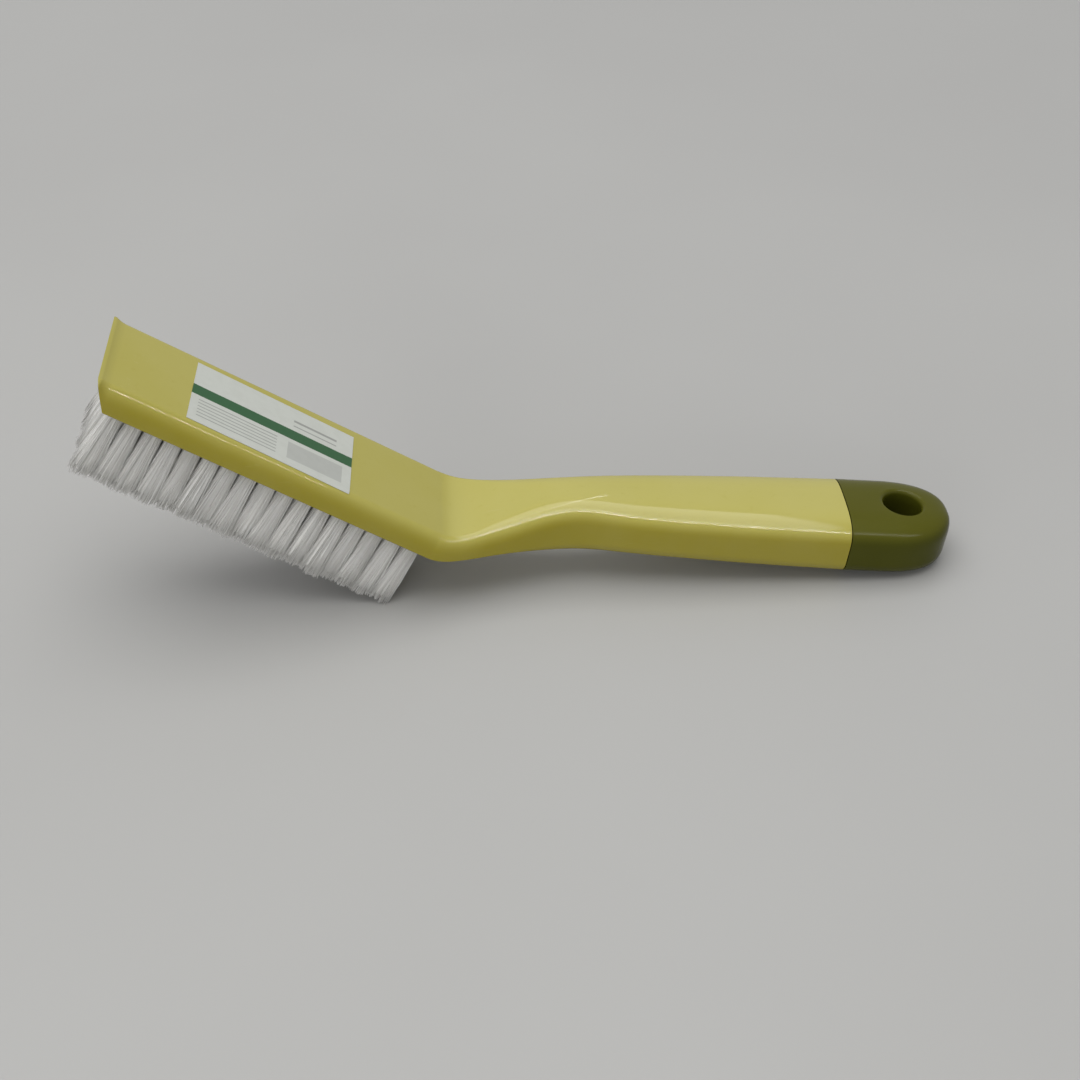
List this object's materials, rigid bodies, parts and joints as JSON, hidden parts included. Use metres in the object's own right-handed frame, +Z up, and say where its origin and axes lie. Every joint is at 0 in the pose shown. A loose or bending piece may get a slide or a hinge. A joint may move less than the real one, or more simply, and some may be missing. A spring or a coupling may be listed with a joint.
{
  "type": "shoe brush",
  "caption": "Long-handled shoe and laundry brush: slanted tufted head on a necked hollow plastic handle with a plug-in end cap pierced by a hanging hole.",
  "frame": {"origin": "on the table, under the middle of the part's box, with the brush lying as in the picture on its hindmost bristle tips and its end cap", "axes": "+X along the handle towards the end cap, +Y across the handle, +Z up from the table"},
  "size_m": [0.2576, 0.0374, 0.0837],
  "materials": {
    "body_plastic": "glossy moulded lime yellow",
    "cap_plastic": "glossy moulded dark olive",
    "label_film": "satin white film with a plain green band",
    "bristle": "off-white monofilament"
  },
  "bodies": {
    "root": {"brush_body": "body_plastic", "end_cap": "cap_plastic", "label": "label_film", "tuft_row_1": "bristle", "tuft_row_2": "bristle", "tuft_row_3": "bristle", "tuft_row_4": "bristle"}
  },
  "joints": []
}
